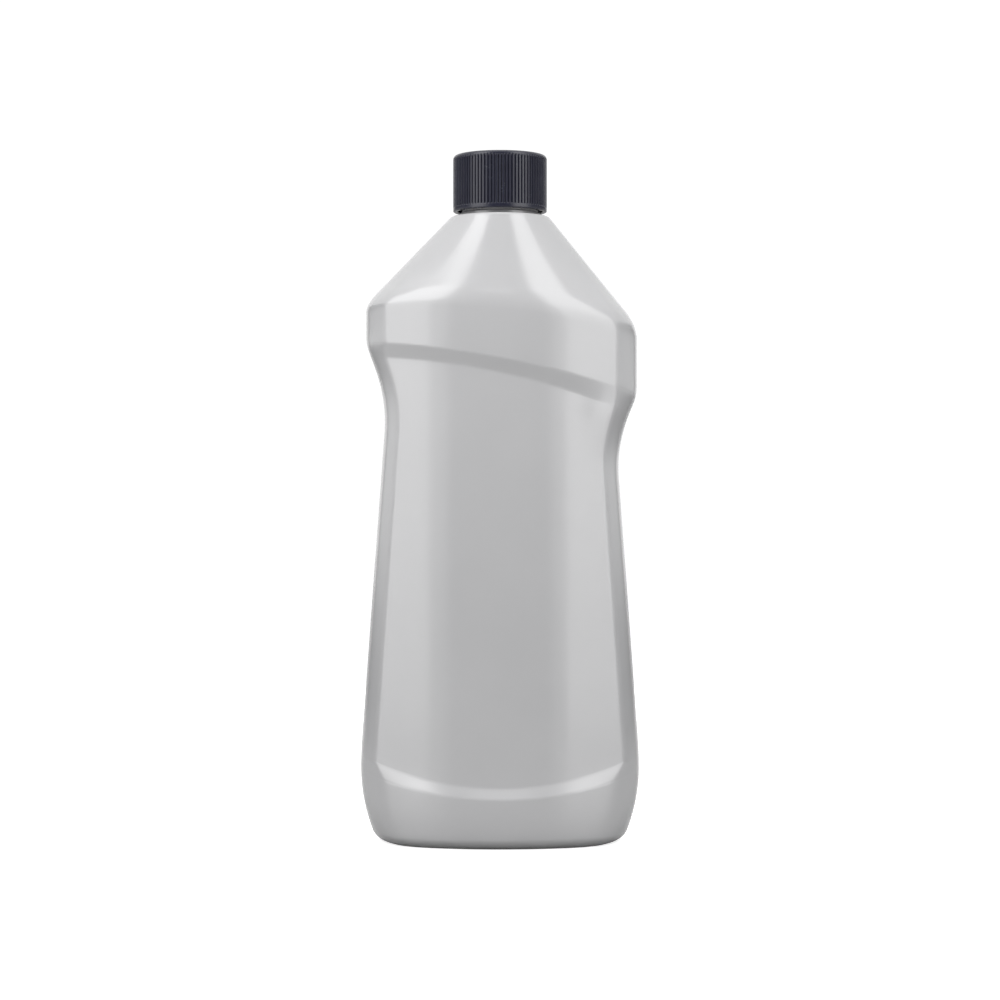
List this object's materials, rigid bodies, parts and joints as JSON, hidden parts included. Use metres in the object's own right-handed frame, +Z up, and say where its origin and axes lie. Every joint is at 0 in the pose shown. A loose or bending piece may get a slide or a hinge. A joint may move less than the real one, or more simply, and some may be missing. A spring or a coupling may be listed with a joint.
{
  "type": "cleaner bottle",
  "caption": "Flat waisted cleaner bottle with a swept shoulder band and recessed label panels, closed by a ribbed screw cap with a sealing liner.",
  "frame": {"origin": "on the neck's axis, at the level of the surface that the bottle stands on", "axes": "+Z up along the neck, -Y out of the front label panel, +X towards the side where the swept step runs low"},
  "size_m": [0.0916, 0.058, 0.2256],
  "materials": {
    "bottle_plastic": "satin",
    "liner_foam": "matt",
    "cap_plastic": "satin"
  },
  "bodies": {
    "bottle": {"bottle": "bottle_plastic"},
    "liner": {"cap_liner": "liner_foam"},
    "cap": {"cap": "cap_plastic"}
  },
  "joints": [
    {"name": "cap_lift", "type": "slide", "parent": "bottle", "child": "liner", "axis": [0, 0, 1], "range_m": [0, 0.0254]},
    {"name": "cap_turn", "type": "hinge", "parent": "liner", "child": "cap", "pos_m": [0, 0, 0.2242], "axis": [0, 0, 1], "range_deg": [0, 2160]}
  ],
  "couplings": [
    {"joint": "cap_lift", "follows": "cap_turn", "m_per_rad": 0.00067375}
  ]
}
